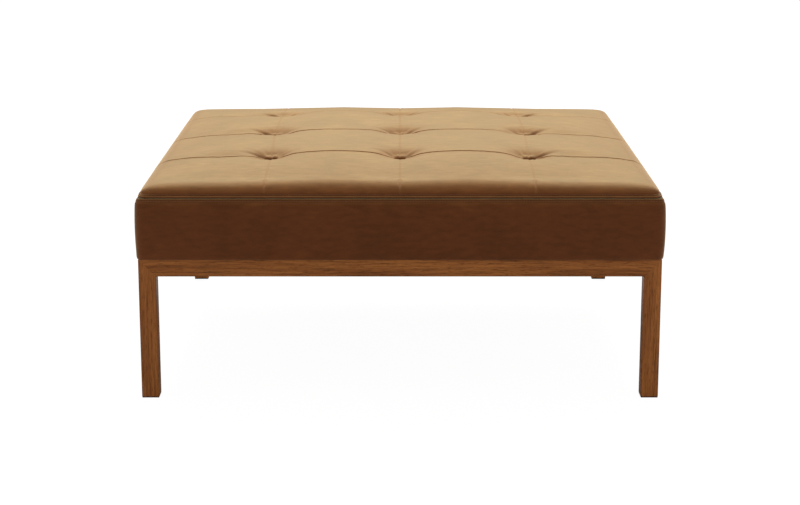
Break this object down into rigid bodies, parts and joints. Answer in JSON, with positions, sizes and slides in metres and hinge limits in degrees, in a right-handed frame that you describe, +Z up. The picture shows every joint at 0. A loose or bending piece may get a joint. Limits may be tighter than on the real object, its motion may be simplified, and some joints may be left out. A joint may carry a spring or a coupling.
{
  "type": "ottoman coffee table",
  "caption": "Square ottoman coffee table: a blind-tufted velvet top with boxed sides on a mitred walnut frame of square-section legs and rails.",
  "frame": {"origin": "on the floor, under the centre of the table", "axes": "+Z up, +X along the front rail to the right, +Y from the front to the back"},
  "size_m": [1.0292, 1.0292, 0.4587],
  "materials": {
    "walnut": "satin, oiled brown",
    "softwood": "planed, unfinished",
    "plywood": "sanded, unfinished",
    "beech": "fluted, unfinished",
    "velvet": "tan cotton velvet with a short nap",
    "wadding": "lofted polyester fibre",
    "foam": "open-cell foam",
    "twine": "waxed nylon twine",
    "cambric": "black non-woven cloth",
    "zinc": "zinc plated",
    "glide": "dark brown nylon"
  },
  "bodies": {
    "root": {"boxing_cover": "velvet", "corner_block_back_left": "softwood", "corner_block_back_right": "softwood", "corner_block_front_left": "softwood", "corner_block_front_right": "softwood", "corner_block_screws": "zinc", "cross_rail_left": "softwood", "cross_rail_right": "softwood", "deck": "plywood", "deck_screws": "zinc", "dust_cover": "cambric", "foam_core": "foam", "glide_back_left": "glide", "glide_back_right": "glide", "glide_front_left": "glide", "glide_front_right": "glide", "leg_back_left": "walnut", "leg_back_right": "walnut", "leg_front_left": "walnut", "leg_front_right": "walnut", "mitre_dowels": "beech", "rail_back": "walnut", "rail_front": "walnut", "rail_left": "walnut", "rail_right": "walnut", "seat_block_back_left": "softwood", "seat_block_back_right": "softwood", "seat_block_front_left": "softwood", "seat_block_front_right": "softwood", "seat_bolt_washers": "zinc", "seat_bolts": "zinc", "seat_frame_screws": "zinc", "seat_rail_back": "softwood", "seat_rail_front": "softwood", "seat_rail_left": "softwood", "seat_rail_right": "softwood", "side_wadding": "wadding", "threaded_inserts": "zinc", "top_cover": "velvet", "tuft_washers": "zinc", "tufting_twines": "twine"}
  },
  "joints": []
}
